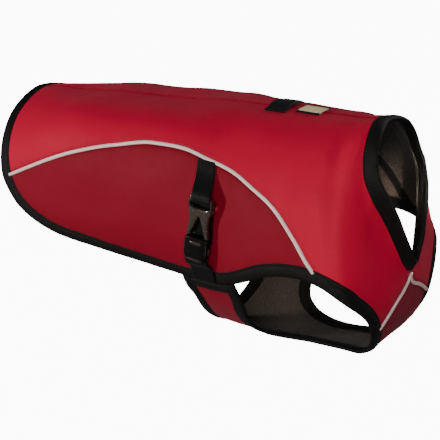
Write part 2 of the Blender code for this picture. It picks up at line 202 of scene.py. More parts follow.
def ways(u, t):
    """How the body moves along the rings, round them and outward, at each point."""
    du, dt = 0.5, 0.002
    along = (body(u + du, t) - body(u - du, t)) / (2 * du)
    around = (body(u, t + dt) - body(u, t - dt)) / (2 * dt)
    out = np.cross(around, along)
    return along, around, out / np.linalg.norm(out, axis=-1, keepdims=True)


def distances(points):
    """How far along a line of points each of them is."""
    return np.r_[0, np.linalg.norm(np.diff(points, axis=0), axis=1).cumsum()]


def read_at(places, far, points):
    """A line of points, each so far along it, read at other places along it."""
    return np.stack([np.interp(places, far, column) for column in points.T], -1)


def even(way, count):
    """The way with so many stations, evenly spaced over the body."""
    far = distances(body(*way.T))
    return read_at(np.linspace(0, far[-1], count), far, way)


def path(points, spacing=3.0):
    """A smooth way over the body through given points, with a station at each spacing."""
    points = np.array(points, float)
    far = distances(body(*points.T))
    return smooth(far, points, np.linspace(0, far[-1], int(round(far[-1] / spacing)) + 1))


def slid(way, shift):
    """The way with each station slid over the body by that part of a shift in mm that lies on it."""
    along, around, out = ways(*way.T)
    aa, ab, bb = (along * along).sum(1), (along * around).sum(1), (around * around).sum(1)
    sa, sb = (shift * along).sum(1), (shift * around).sum(1)
    det = aa * bb - ab * ab
    return way + np.stack([(bb * sa - ab * sb) / det, (aa * sb - ab * sa) / det], 1)


def across(way, distance, steps=3):
    """The way moved sideways over the body, to the left as one travels along it outside."""
    heading = np.gradient(body(*way.T), axis=0)
    for _ in range(steps):
        side = np.cross(ways(*way.T)[2], heading)
        side /= np.linalg.norm(side, axis=1, keepdims=True)
        way = slid(way, distance / steps * side)
    return way


def drawn_in(points, times):
    """Points with each inner one drawn to the mean of its neighbours, so many times over."""
    for _ in range(times):
        points = np.vstack([points[:1], (points[:-2] + 2 * points[1:-1] + points[2:]) / 4, points[-1:]])
    return points


def softened(way, times):
    """The way drawn in over the body, so many times."""
    for _ in range(times):
        points = body(*way.T)
        way = slid(way, drawn_in(points, 1) - points)
    return way


def meet(first, second):
    """Where two ways cross, as a place on each."""
    a, b = first[:-1, None], second[None, :-1]
    p, q = first[1:, None] - a, second[None, 1:] - b
    with np.errstate(divide="ignore", invalid="ignore"):
        det = p[..., 0] * q[..., 1] - p[..., 1] * q[..., 0]
        f = ((b - a)[..., 0] * q[..., 1] - (b - a)[..., 1] * q[..., 0]) / det
        g = ((b - a)[..., 0] * p[..., 1] - (b - a)[..., 1] * p[..., 0]) / det
        hit = (f >= 0) & (f < 1) & (g >= 0) & (g < 1)
    i, j = np.argwhere(hit)[0]
    return i + f[i, j], j + g[i, j]


def stretch(way, start, end):
    """The part of a way between two places on it, which may run backwards."""
    low, high = min(start, end), max(start, end)
    places = np.r_[low, np.arange(np.floor(low) + 1, np.ceil(high)), high]
    part = read_at(places, np.arange(len(way)), way)
    return part if start <= end else part[::-1]


def between(way, first, second):
    """The part of a way from where the first way crosses it to where the second does."""
    return stretch(way, meet(way, first)[0], meet(way, second)[0])


def left(way):
    """The way's mirror image, reached round the spine."""
    return way * (1, -1)


def below_left(way):
    """The way's mirror image, reached round the belly."""
    return way * (1, -1) + (0, 2)


right_edge = softened(path(HEM + ARMHOLE[1:]), 12)
edge = np.vstack([right_edge[:0:-1] * (1, -1), right_edge])
spine_station = len(right_edge) - 1
# The corner where the hem ends and the armhole starts, which is passed once more at the very end.
from_corner = np.linalg.norm((right_edge - HEM[-1]) * (1, HALF_GIRTH), axis=1)
corner_station = spine_station + int(np.argmin(from_corner[:len(right_edge) * 3 // 4]))
cloth_line = softened(across(edge, BINDING_WIDTH - UNDER_TAPE), 6)
rear_line = cloth_line[spine_station - 1:corner_station + 1]
armhole_line = cloth_line[corner_station:]
half_neck = NECK + [(u, 2 - t) for u, t in NECK[-2:-4:-1]]
neck_edge = path(half_neck[::-1] + [(u, -t) for u, t in half_neck[1:]])
neck_line = across(neck_edge, BINDING_WIDTH - UNDER_TAPE)
side_seam, chest_seam = path(PIPING), path(CHEST_SEAM)
spine_line = across(path([(-340, 0), (90, 0)]), -GAP / 2)

CREASES = [
    # length of a wave, height, how many waves
    (150.0, 1.1, 5),
    (62.0, .45, 7),
    (27.0, .10, 9),
]


def crease(points):
    """How far the cloth stands in or out of its form, in mm: soft waves at three sizes.

    Each wave is height / sqrt(count) times the sine of the place along a direction drawn at random.
    """
    draw = np.random.default_rng(11)
    total = np.zeros(points.shape[:-1])
    for size, height, count in CREASES:
        for _ in range(count):
            way = draw.normal(size=3) * (1, .8, 1.1)
            way *= 2 * np.pi / size / np.linalg.norm(way)
            total += height / np.sqrt(count) * np.sin(points @ way + draw.uniform(0, TURN))
    return total


def lay(places, height=0.0):
    """Points on the creased body, so far above the cloth's outer face."""
    u, t = places[..., 0], places[..., 1]
    points, out = body(u, t), ways(u, t)[2]
    return points + out * (crease(points) + height)[..., None]


def length(way):
    """How long a way is over the body, in mm."""
    return np.linalg.norm(np.diff(body(*way.T), axis=0), axis=1).sum()


def fitted(way, share):
    """The way's points at shares of its length."""
    return read_at(share, np.linspace(0, 1, FINE), even(way, FINE))


def shares_of(way):
    """How far along its length each station of a way is, from 0 to 1."""
    far = distances(body(*way.T))
    return far / far[-1]


def fine_ends(rows):
    """Shares from 0 to 1, close together at both ends where the cloth rolls into its seams."""
    near = np.array([0, .003, .007, .012, .019, .03, .045])
    return np.r_[near, np.linspace(.062, .938, rows), 1 - near[::-1]]


def relaxed(places, times):
    """The grid with its inner points drawn to their neighbours, its borders kept.

    With the steps p along the rows and q along the columns, each point is moved to
    ((q.q)(E + W) + (p.p)(N + S) - (p.q) D / 2) / 2(p.p + q.q), E, W, N and S its neighbours and D the
    difference of its diagonal ones. A grid smoothed in this way has no fold.
    """
    x = places * (1, HALF_GIRTH)
    for _ in range(times):
        p, q = (x[2:, 1:-1] - x[:-2, 1:-1]) / 2, (x[1:-1, 2:] - x[1:-1, :-2]) / 2
        pp, qq, pq = [(m * n).sum(2, keepdims=True) for m, n in ((p, p), (q, q), (p, q))]
        diagonal = x[2:, 2:] - x[:-2, 2:] - x[2:, :-2] + x[:-2, :-2]
        x[1:-1, 1:-1] = (qq * (x[2:, 1:-1] + x[:-2, 1:-1]) + pp * (x[1:-1, 2:] + x[1:-1, :-2])
                         - pq * diagonal / 2) / (2 * (pp + qq))
    return x / (1, HALF_GIRTH)


def patch(top, low, rear, front, times=0):
    """Places over a panel with four borders, given as ways.

    They are the straight blend from top to low, plus that from rear to front, less that of the four
    corners. A number of times asks for the grid to be relaxed so often.
    """
    share = shares_of(rear)
    steps = np.linspace(0, 1, len(share)) if times else share
    s, r = np.linspace(0, 1, len(top))[:, None, None], steps[None, :, None]
    corners = ((1 - s) * (1 - r) * top[0] + (1 - s) * r * low[0] + s * (1 - r) * top[-1] + s * r * low[-1])
    places = (1 - r) * top[:, None] + r * low[:, None] - corners
    places += (1 - s) * fitted(rear, steps)[None] + s * fitted(front, steps)[None]
    if times:
        places = np.stack([read_at(share, steps, row) for row in relaxed(places, times)])
    places[0], places[-1] = rear, fitted(front, share)
    return places


def to_seams(places, start=0.0):
    """How far each point is from the panel's first and last row, and how far along it, in mm."""
    points = body(places[..., 0], places[..., 1])
    steps = np.linalg.norm(np.diff(points, axis=1), axis=2)
    from_top = np.pad(steps.cumsum(1), ((0, 0), (1, 0)))
    from_low = np.pad(steps[:, ::-1].cumsum(1)[:, ::-1], ((0, 0), (0, 1)))
    along = start + np.pad(np.linalg.norm(np.diff(points, axis=0), axis=2).cumsum(0), ((1, 0), (0, 0)))
    return from_top, from_low, along


def relief(places, depths, start=0.0, pucker=0.22, seed=2):
    """How the cloth rolls down into its two long seams and puckers beside them, in mm.

    With d the distance to a seam and s the distance along it, the roll is -depth exp(-(d/1.4)^2)
    and the pucker is a sum of three sines in s times exp(-d/8).
    """
    draw = np.random.default_rng(seed)
    from_top, from_low, along = to_seams(places, start)
    total = np.zeros(from_top.shape)
    for d, depth in ((from_top, depths[0]), (from_low, depths[1])):
        waves = sum(np.sin(along * 2 * np.pi / size + draw.uniform(0, TURN)) for size in (9.0, 13.0, 24.0))
        total += -depth * np.exp(-(d / 1.4) ** 2) + pucker * waves / 1.7 * np.exp(-d / 8)
    return total


def grid_faces(rows, columns, around=False):
    """Quads over a grid of points, which may close round its columns."""
    i, j = np.meshgrid(np.arange(rows - 1), np.arange(columns - (not around)), indexing="ij")
    a, b = i * columns + j, i * columns + (j + 1) % columns
    return np.stack([a, b, b + columns, a + columns], -1).reshape(-1, 4)


def capped(rows, columns):
    """Faces of a closed profile carried along a line, with one more on each end."""
    index = np.arange(rows * columns).reshape(rows, columns)
    return grid_faces(rows, columns, around=True).tolist() + [index[0, ::-1].tolist(), index[-1].tolist()]


def add_piece(name, points, faces, materials, uv=None, slots=None, side=1, near=None, sharp=None):
    """A closed mesh from points in mm, its faces turned outward, which rides on the jacket.

    A side of -1 mirrors it to the left. near is an attribute, 1 at a seam and 0 away from it.
    """
    mesh = bpy.data.meshes.new(name)
    mesh.from_pydata((np.asarray(points).reshape(-1, 3) * MM * (1, side, 1)).tolist(), [],
                     faces if isinstance(faces, list) else faces.tolist())
    if uv is not None:
        corner = np.empty(len(mesh.loops), np.int32)
        mesh.loops.foreach_get("vertex_index", corner)
        layer = mesh.uv_layers.new(name="UVMap")
        layer.uv.foreach_set("vector", np.asarray(uv, np.float32).reshape(-1, 2)[corner].ravel())
    if near is not None:
        mesh.attributes.new("near_seam", "FLOAT", "POINT").data.foreach_set("value", np.float32(near.ravel()))
    for material in materials:
        mesh.materials.append(material)
    if slots is not None:
        mesh.polygons.foreach_set("material_index", np.asarray(slots, np.int32))
    shell = bmesh.new()
    shell.from_mesh(mesh)
    bmesh.ops.remove_doubles(shell, verts=shell.verts, dist=1e-6)
    bmesh.ops.recalc_face_normals(shell, faces=shell.faces)
    shell.to_mesh(mesh)
    shell.free()
    mesh.shade_smooth()
    if sharp:
        mesh.set_sharp_from_angle(angle=np.radians(sharp))
    thing = bpy.data.objects.new(name, mesh)
    bpy.context.scene.collection.objects.link(thing)
    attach(thing, "root")
    return thing


def wall(name, grids, heights, materials, side=1):
    """A cloth wall over one grid of places or several that share borders.

    It has the outer face, the fleece face a cloth's thickness below, and a rim between them along
    each side of a cell that no other cell has.
    """
    outer = np.vstack([lay(places, high).reshape(-1, 3) for places, high in zip(grids, heights)])
    inner = np.vstack([lay(places, high * .5 - CLOTH).reshape(-1, 3) for places, high in zip(grids, heights)])
    starts = np.cumsum([0] + [places[..., 0].size for places in grids])
    face = np.vstack([grid_faces(*places.shape[:2]) + start for places, start in zip(grids, starts)])
    seams = [to_seams(places) for places in grids]
    uv = [np.stack([along[:, :1] + 0 * along, top], -1).reshape(-1, 2) * MM for top, _, along in seams]
    near = np.concatenate([np.exp(-np.minimum(top, low) / 5).ravel() for top, low, _ in seams])
    same = np.unique(np.round(outer, 3), axis=0, return_inverse=True)[1].ravel()
    sides = np.vstack([face[:, [k, (k + 1) % 4]] for k in range(4)])
    first, second = same[sides].T
    alone = ~np.isin(second * len(outer) + first, first * len(outer) + second) & (first != second)
    a, b = sides[alone].T
    rim = np.stack([b, a, a + len(outer), b + len(outer)], 1)
    slots = np.r_[np.zeros(len(face)), np.ones(len(face) + len(rim))]
    return add_piece(name, np.vstack([outer, inner]), np.vstack([face, face[:, ::-1] + len(outer), rim]),
                     materials, np.vstack(uv + uv), slots, side, np.r_[near, near])


def add_node(tree, kind, settings=None, **inputs):
    """A node with its settings, and values or links for its inputs, by name or by _0, _1 and so on."""
    made = tree.nodes.new(kind)
    for name, value in (settings or {}).items():
        setattr(made, name, value)
    for name, value in inputs.items():
        socket = made.inputs[int(name[1:])] if name[1:].isdigit() else made.inputs[name.replace("_", " ")]
        if isinstance(value, bpy.types.NodeSocket):
            tree.links.new(value, socket)
        else:
            socket.default_value = value
    return made


def sum_of(tree, operation, first, second=0.0, third=0.0):
    """One step of arithmetic on sockets or numbers."""
    step = add_node(tree, "ShaderNodeMath", {"operation": operation}, _0=first, _1=second, _2=third)
    return step.outputs[0]


def blend(tree, share, first, second, kind="MIX"):
    """Two colours mixed by a share."""
    made = add_node(tree, "ShaderNodeMix", {"data_type": "RGBA", "blend_type": kind}, _0=share)
    for socket, value in ((made.inputs[6], first), (made.inputs[7], second)):
        if isinstance(value, bpy.types.NodeSocket):
            tree.links.new(value, socket)
        else:
            socket.default_value = (*value, 1)
    return made.outputs[2]


def effect(name, inputs, outputs):
    """An empty shader group with inputs by name and value, and outputs by name."""
    tree = bpy.data.node_groups.new(name, "ShaderNodeTree")
    for label, value in inputs.items():
        kind = "NodeSocketVector" if value is None else "NodeSocketFloat"
        socket = tree.interface.new_socket(label, in_out="INPUT", socket_type=kind)
        if value is not None:
            socket.default_value = value
    for label in outputs:
        tree.interface.new_socket(label, in_out="OUTPUT", socket_type="NodeSocketFloat")
    return tree, tree.nodes.new("NodeGroupInput").outputs, tree.nodes.new("NodeGroupOutput").inputs


def weave_effect():
    """A plain weave on a flat place: threads under and over by turns.

    With a and b the place in threads, the warp's height is sin(pi a) (0.6 + 0.4 sin(pi b)), the
    weft's is the same with a and b exchanged, and the sum of their whole parts, odd or even,
    says which is on top.
    """
    tree, given, made = effect("weave", {"Vector": None, "Pitch": 0.001, "Stretch": 1.0}, ["Height", "Gap"])
    place = add_node(tree, "ShaderNodeSeparateXYZ", Vector=given["Vector"]).outputs
    a = sum_of(tree, "DIVIDE", place[0], given["Pitch"])
    b = sum_of(tree, "DIVIDE", place[1], sum_of(tree, "MULTIPLY", given["Pitch"], given["Stretch"]))
    rise = [sum_of(tree, "SINE", sum_of(tree, "MULTIPLY", sum_of(tree, "FRACT", k), np.pi)) for k in (a, b)]
    warp, weft = (sum_of(tree, "MULTIPLY", one, sum_of(tree, "MULTIPLY_ADD", two, 0.4, 0.6))
                  for one, two in (rise, rise[::-1]))
    whole = sum_of(tree, "ADD", sum_of(tree, "FLOOR", a), sum_of(tree, "FLOOR", b))
    odd = sum_of(tree, "FLOORED_MODULO", whole, 2.0)
    difference = sum_of(tree, "SUBTRACT", weft, warp)
    height = sum_of(tree, "MULTIPLY_ADD", difference, odd, warp)
    tree.links.new(height, made["Height"])
    tree.links.new(sum_of(tree, "SUBTRACT", 1.0, height), made["Gap"])
    return tree


def mottle_effect():
    """Uneven dye and nap: a broad, a middle and a fine noise, each from 0 to 1."""
    tree, given, made = effect("mottle", {"Vector": None}, ["Broad", "Middle", "Fine"])
    for label, scale, detail in (("Broad", 9.0, 2.0), ("Middle", 70.0, 3.0), ("Fine", 650.0, 2.0)):
        noise = add_node(tree, "ShaderNodeTexNoise", Vector=given["Vector"], Scale=scale, Detail=detail)
        tree.links.new(noise.outputs["Fac"], made[label])
    return tree


weave, mottle = weave_effect(), mottle_effect()


def cloth(name, dark, light, pitch, roughness, weave_depth, nap_depth, gap_shade=.2, stretch_by=1.0,
          seams=False, specular=.12, sheen=0.0):
    """A woven or knitted finish: mottled colour, painted shade in the gaps between threads, and a bump of
    threads and nap.

    The threads' pitch is in metres, as the UV map is, and the two depths are in mm.
    """
    material = bpy.data.materials.new(name)
    material.use_nodes = True
    tree = material.node_tree
    shader = tree.nodes["Principled BSDF"]
    place = tree.nodes.new("ShaderNodeTexCoord").outputs
    threads = add_node(tree, "ShaderNodeGroup", {"node_tree": weave}, Vector=place["UV"], Pitch=pitch,
                       Stretch=stretch_by).outputs
    uneven = add_node(tree, "ShaderNodeGroup", {"node_tree": mottle}, Vector=place["Object"]).outputs
    share = sum_of(tree, "MULTIPLY_ADD", uneven["Fine"], .45, sum_of(tree, "MULTIPLY", uneven["Broad"], .55))
    share = add_node(tree, "ShaderNodeMapRange", Value=share, From_Min=.32, From_Max=.68).outputs[0]
    colour = blend(tree, share, dark, light)
    # Painted shade: the colour is darkened toward a quarter of the dark colour in the weave's gaps.
    painted_shade = sum_of(tree, "MULTIPLY", threads["Gap"], gap_shade)
    if seams:
        # With seams, painted shade also darkens the colour unevenly beside the seams, where the cloth rolls
        # in.
        near = add_node(tree, "ShaderNodeAttribute", {"attribute_name": "near_seam"}).outputs["Fac"]
        painted_shade = sum_of(tree, "MULTIPLY_ADD", sum_of(tree, "MULTIPLY", near, uneven["Middle"]), .5, painted_shade)
    colour = blend(tree, painted_shade, colour, tuple(k * .25 for k in dark))
    tree.links.new(colour, shader.inputs["Base Color"])
    rough = sum_of(tree, "MULTIPLY_ADD", uneven["Middle"], .18, roughness - .09)
    tree.links.new(rough, shader.inputs["Roughness"])
    woven = add_node(tree, "ShaderNodeBump", Strength=1.0, Distance=weave_depth * MM,
                     Height=threads["Height"])
    napped = add_node(tree, "ShaderNodeBump", Strength=1.0, Distance=nap_depth * MM, Height=uneven["Fine"],
                      Normal=woven.outputs[0])
    tree.links.new(napped.outputs[0], shader.inputs["Normal"])
    shader.inputs["Specular IOR Level"].default_value = specular
    shader.inputs["Sheen Weight"].default_value = sheen
    return material


def softshell(name, dark, light):
    """A fine tight weave with a faint red bloom, its colour darkened unevenly beside the seams by painted
    shade.
    """
    material = cloth(name, dark, light, pitch=.0006, roughness=.62, weave_depth=.05, nap_depth=.03,
                     gap_shade=.14, seams=True, sheen=.08)
    shader = material.node_tree.nodes["Principled BSDF"]
    shader.inputs["Sheen Roughness"].default_value = .45
    shader.inputs["Sheen Tint"].default_value = (1.0, .25, .35, 1)
    return material


bright_red = softshell("bright_red_softshell", (.40, .002, .024), (.47, .003, .031))
deep_red = softshell("deep_red_softshell", (.18, .0012, .0105), (.215, .0016, .014))
fleece = cloth("dark_fleece", (.005, .004, .0035), (.075, .058, .046), pitch=.0016, roughness=.95,
               weave_depth=.12, nap_depth=.35, gap_shade=.35, sheen=.05)
red_thread = cloth("red_thread", (.24, .004, .012), (.40, .010, .03), pitch=.0005, roughness=.5,
                   weave_depth=.03, nap_depth=.02)

# Each panel is two grids, behind and ahead of a line from the front of the armhole to the spine.
YOKE_START, YOKE_BEND = 26.0, (36, .27)
BACK_ROWS, YOKE_COLUMNS, YOKE_SWEEPS = 70, 28, 900
upper_seam, chest_upper = across(side_seam, SEAM_IN), across(chest_seam, -SEAM_IN)
spine_part = between(spine_line, rear_line, neck_line)
yoke_top = meet(spine_line, np.array([(YOKE_START, -.1), (YOKE_START, .1)]))[0]
seam_part = between(upper_seam, rear_line, armhole_line)
arm_part = between(armhole_line, upper_seam, chest_upper)
rear_spine = stretch(spine_line, meet(spine_line, rear_line)[0], yoke_top)
front_spine = stretch(spine_line, yoke_top, meet(spine_line, neck_line)[0])
yoke_line = fitted(path([rear_spine[-1], YOKE_BEND, seam_part[-1]]), fine_ends(BACK_ROWS))
back_columns = int(length(seam_part) / CELL)
back_places = patch(even(rear_spine, back_columns), even(seam_part, back_columns),
                    fitted(between(rear_line, spine_line, upper_seam), fine_ends(BACK_ROWS)), yoke_line)
yoke_rear = np.vstack([back_places[-1], even(arm_part, int(length(arm_part) / CELL))[1:]])
chest_part = between(chest_upper, armhole_line, neck_line)
yoke_places = patch(even(front_spine, YOKE_COLUMNS), even(chest_part, YOKE_COLUMNS), yoke_rear,
                    between(neck_line, spine_line, chest_upper), YOKE_SWEEPS)
back_heights = relief(back_places, (1.5, 1.0))
yoke_heights = relief(yoke_places, (1.5, 1.0), start=length(rear_spine))
yoke_heights[0, :back_places.shape[1]] = back_heights[-1]

for side_name, side in (("right", 1), ("left", -1)):
    back = wall("back_cloth_" + side_name, [back_places, yoke_places], [back_heights, yoke_heights],
                [bright_red, fleece], side)
    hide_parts("back_panel_" + side_name)


# A stitch at its four stations: along its run, its thickness, and how far it dips and leans.
RUN, THICK, DIP, LEAN = np.array([(0, .3, .7, 1), (.5, 1, 1, .5), (1.3, 0, 0, 1.3), (-1, -.4, .4, 1)])
THREAD_SIDES = 5


def stitches(name, way, inward, height, material, pitch=3.4, run=2.5, radius=.3, sides=(1,), tilt=0.0):
    """A row of stitches beside a way: each a short round thread that dips into the cloth at its ends.

    With r the radius, each is a tube of radius r THICK whose middle is lowered by r DIP and moved
    sideways by tilt LEAN.
    """
    line = softened(across(way, inward), 4)
    points = lay(line, height)
    far = distances(points)
    at = np.arange(pitch, far[-1] - pitch, pitch)[:, None] + RUN * run
    centre, place = read_at(at, far, points), read_at(at, far, line)
    out = ways(place[..., 0], place[..., 1])[2]
    along = np.gradient(centre, axis=1)
    along /= np.linalg.norm(along, axis=-1, keepdims=True)
    beside = np.cross(out, along)
    centre = centre - out * DIP[:, None] * radius
    centre = centre + beside * LEAN[:, None] * tilt
    turn = np.arange(THREAD_SIDES) * 2 * np.pi / THREAD_SIDES
    ring = (np.cos(turn)[:, None] * beside[:, :, None] + np.sin(turn)[:, None] * out[:, :, None])
    points = centre[:, :, None] + ring * (radius * THICK)[:, None, None]
    tube = capped(len(RUN), THREAD_SIDES)
    each = len(RUN) * THREAD_SIDES
    faces = [[v + each * k for v in face] for k in range(len(at)) for face in tube]
    uv = np.stack([np.broadcast_to(np.linspace(0, run, len(RUN))[:, None], points.shape[:-1]),
                   np.broadcast_to(turn * radius, points.shape[:-1])], -1) * MM
    for side in sides:
        made = add_piece(name + ("_left" if side < 0 else ""), points, faces, [material], uv, side=side)


BESIDE_SPINE = 2.6
stitches("spine_stitches", spine_part, -BESIDE_SPINE, .1, red_thread, sides=(1, -1))

# The side panels.
# Two panels of deep red softshell, sewn in below the side piping and bound along the hem and the
# armhole's top. Each runs out to a point at both ends.

SIDE_ROWS = 46
lower_seam = across(side_seam, -SEAM_IN)
side_top = between(lower_seam, rear_line, armhole_line)
hem_part = stretch(cloth_line, spine_station - 1 + meet(rear_line, lower_seam)[0],
                   corner_station + meet(armhole_line, lower_seam)[0])
side_columns = int(length(hem_part) / CELL)
side_top, hem_part = even(side_top, side_columns), even(hem_part, side_columns)
# The rear border is as good as a point, but long enough for its rows to be told apart.
rear_tip = side_top[:1] + np.linspace(0, 1e-6, len(fine_ends(SIDE_ROWS)))[:, None]
side_places = patch(side_top, hem_part, rear_tip, side_top[-1:].repeat(2, 0))
side_heights = relief(side_places, (1.0, .3), seed=5)

for side_name, side in (("right", 1), ("left", -1)):
    piece = wall("side_cloth_" + side_name, [side_places], [side_heights], [deep_red, fleece], side)
    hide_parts("side_panel_" + side_name)

# The belly panel.
# One panel of deep red softshell, from the chest seams down between the front legs, with a wing
# up each side that the lower strap is sewn to.

WING_GAP, WING_TAPE = 1.0, 9.0
WING_TOP = HEM[-6:] + [(-20, .565)]      # the front of the hem, run on past the armhole
# The wings meet the strip between the legs on a line from the belly's middle to the armhole.
WING_FRONT, STRIP_START, CUT_POINTS = -24.0, (-16, .9), 18
MIDDLE_AT_CHEST = 52.0       # the place on the belly's middle that the chest seam's side end faces
wing_top = path(WING_TOP)
wing_tape_top = across(wing_top, -WING_GAP)
wing_cloth_top = across(wing_top, -WING_GAP - WING_TAPE + UNDER_TAPE)
wing_rear = softened(path(WING_REAR + [(u, 2 - t) for u, t in WING_REAR[-2::-1]]), 3)
wing_rear_line = across(wing_rear, BINDING_WIDTH - UNDER_TAPE)
chest_lower = across(chest_seam, SEAM_IN)
middle_line = path([(-110, 1), (103, 1)])
middle_rear = wing_rear_line[int(round(meet(wing_rear_line, middle_line)[0])), 0]
strip_start = int(np.argmin(np.abs(armhole_line - STRIP_START) @ (1, HALF_GIRTH)))
wing_top_part = between(wing_cloth_top, wing_rear_line, armhole_line)
wing_columns = int(length(wing_top_part) / CELL)
cut_line = even(path([(WING_FRONT, 1), armhole_line[strip_start]]), CUT_POINTS)
wing_arm = stretch(armhole_line, strip_start, meet(armhole_line, wing_cloth_top)[0])
wing_front = np.vstack([cut_line, wing_arm[1:]])
wing_middle = np.stack([np.linspace(middle_rear, WING_FRONT, wing_columns), np.ones(wing_columns)], 1)
wing_side = between(wing_rear_line, wing_cloth_top, middle_line)[::-1]
wing_places = patch(wing_middle[::-1], even(wing_top_part, wing_columns)[::-1], wing_front, wing_side)
chest_border = between(chest_lower, armhole_line, middle_line)
strip_arm = stretch(armhole_line, strip_start, meet(armhole_line, chest_lower)[0])
strip_border = np.vstack([strip_arm, chest_border[1:]])
chest_share = length(chest_border) / length(strip_border)
strip_columns = int(length(strip_border) / CELL)
strip_border = even(strip_border, strip_columns)
strip_u = np.interp(np.linspace(0, 1, strip_columns), [0, 1 - chest_share, 1],
                    [WING_FRONT, MIDDLE_AT_CHEST, strip_border[-1, 0]])
strip_places = patch(np.stack([strip_u, np.ones(strip_columns)], 1), strip_border, cut_line,
                     strip_border[-1:].repeat(2, 0))


def both_halves(half):
    """The right half of a grid, with its mirror image joined to it at the belly's middle."""
    return np.concatenate([below_left(half[:, :0:-1]), half], axis=1)


belly_grids = [both_halves(wing_places), both_halves(strip_places)]
belly_heights = [relief(places, (0, 0), seed=6, pucker=.15) for places in belly_grids]
middle = len(wing_front) - 1
belly_heights[1][0] = belly_heights[0][0, middle - CUT_POINTS + 1:middle + CUT_POINTS]
belly = wall("belly_cloth", belly_grids, belly_heights, [deep_red, fleece])
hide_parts("belly_panel")

# The bindings.
# A matt black stretch tape, 12 mm wide when folded and 9 mm on the wing's top, is sewn over every
# raw edge. It has an outer leaf, a fold round the edge and an inner leaf, all one profile here.

FOLDED = np.array([
    # in from the edge, above the outer face
    (13.0, -.6), (13.0, .3), (12.6, .7), (11.8, .85), (11.0, .5), (10.5, .45), (9.8, .85), (7.6, 1.3),
    (4.8, 1.45), (2.3, 1.15), (.7, .55), (-.1, -.2), (-.4, -1.2), (-.1, -2.2), (.7, -3.0), (2.2, -3.5),
    (4.5, -3.7), (7.0, -3.6), (9.4, -3.2), (10.2, -2.9), (10.8, -2.95), (11.6, -3.2), (12.4, -3.0),
    (12.8, -2.6), (12.8, -1.9),
])
NARROW = .72                 # how wide the tape on the wing's top is, as a share of the others
STITCH_IN, STITCH_UP = 10.75, .62    # its stitches, in from the edge and above the outer face
black_tape = cloth("black_binding", (.0012, .0011, .0010), (.0085, .0070, .0058), pitch=.0013, roughness=.62,
                   weave_depth=.14, nap_depth=.05, gap_shade=.7, specular=.15)
black_thread = cloth("black_thread", (.006, .006, .006), (.02, .02, .02), pitch=.0005, roughness=.45,
                     weave_depth=.03, nap_depth=.02)


def carried(way, profile, wave=0.0, seed=1, rise=0.0):
    """Points of a profile carried along a way, each row of it so far across the way and out from it.

    The profile rises and falls by a sum of three sines, from none at the way to all of it 6 mm in.
    """
    draw = np.random.default_rng(seed)
    far = distances(body(*way.T))
    sines = [np.sin(far * 2 * np.pi / size + draw.uniform(0, TURN)) / 3 for size in (9.0, 14.0, 23.0)]
    waves = sum(sines) * wave
    rows = [lay(softened(across(way, d), int(abs(d) / 2)), h + rise + waves * np.clip(d / 6, 0, 1))
            for d, h in profile]
    return np.stack(rows, 1), far


def strip(name, way, profile, materials, side=1, slots=None, **look):
    """A closed profile carried along a way, with capped ends."""
    points, far = carried(way, profile, **look)
    rows, columns = points.shape[:2]
    uv = np.stack(np.meshgrid(far, distances(profile), indexing="ij"), -1) * MM
    if slots is not None:
        slots = np.r_[np.tile(slots, rows - 1), slots[0], slots[0]]
    return add_piece(name, points, capped(rows, columns), materials, uv, slots, side)


hem_way = stretch(edge, 2 * spine_station - corner_station, corner_station)
armhole_way = stretch(edge[corner_station:], 0.1, meet(edge[corner_station:], wing_tape_top)[0])
# The neck tape's two ends lap each other at the point of the neck, by so many stations of its path.
LAP = 1.8
neck_ends = meet(neck_edge, middle_line)[0] - LAP, meet(neck_edge, left(middle_line))[0] + LAP
neck_way = stretch(neck_edge, *neck_ends)
rear_way = between(wing_rear, wing_tape_top, below_left(wing_tape_top))
wing_way = between(wing_tape_top, wing_rear_line, armhole_line)
TAPES = [
    # piece, node, its edge, how much it waves
    ("hem_tape", "hem_binding", hem_way, .12),
    ("neck_tape", "neck_binding", neck_way, .15),
    ("belly_rear_tape", "belly_rear_binding", rear_way, .12),
]
for name, node, way, wave in TAPES:
    tape = strip(name, way, FOLDED, [black_tape], wave=wave, seed=len(name))
    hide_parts(node)
    stitches(name + "_stitches", way, STITCH_IN, STITCH_UP, black_thread)
for side_name, side in (("right", 1), ("left", -1)):
    armhole = strip("armhole_tape_" + side_name, armhole_way, FOLDED, [black_tape], side, wave=.15, seed=6)
    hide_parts("armhole_binding_" + side_name)
    wing = strip("wing_tape_" + side_name, wing_way, FOLDED * (-NARROW, 1), [black_tape], side, wave=.1,
                 seed=7)
    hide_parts("wing_top_binding_" + side_name)
stitches("armhole_stitches", armhole_way, STITCH_IN, STITCH_UP, black_thread, sides=(1, -1))
stitches("wing_stitches", wing_way, -STITCH_IN * NARROW, STITCH_UP, black_thread, sides=(1, -1))

# The pipings.
# A pale reflective tape round a thin cord, sewn into the side seams and the chest seams. Inside,
# a flat black tape covers the seam, as another does along the spine.

CORDED = np.array([
    # across the seam, above the outer face
    (1.8, -.6), (1.85, .2), (1.5, .75), (.8, 1.15), (0, 1.3), (-.8, 1.15), (-1.5, .75), (-1.85, .2),
    (-1.8, -.6), (-1.8, -2.3), (-4.6, -2.5), (-4.9, -2.9), (-4.3, -3.2), (0, -3.3), (4.3, -3.2),
    (4.9, -2.9), (4.6, -2.5), (1.8, -2.3),
])
OVER_CORD = 8                # faces of that profile that are pale tape; the others are black
CORD_SLOTS = np.arange(len(CORDED)) >= OVER_CORD
CORD_STEP = 1.6
COVER = np.array([(-5, -2.5), (-5.2, -2.9), (-4.5, -3.2), (0, -3.35), (4.5, -3.2), (5.2, -2.9), (5, -2.5)])
BESIDE_SEAM = 4.6            # from a piping's middle to the stitches in the panel above it
# Its colour is partly painted light: the tape's own pale colour with the red cloth's bounce painted in as a
# pink tint.
pale_piping = cloth("pale_piping", (.62, .42, .38), (.82, .64, .60), pitch=.0007, roughness=.38,
                    weave_depth=.04, nap_depth=.03, gap_shade=.15, specular=.5)

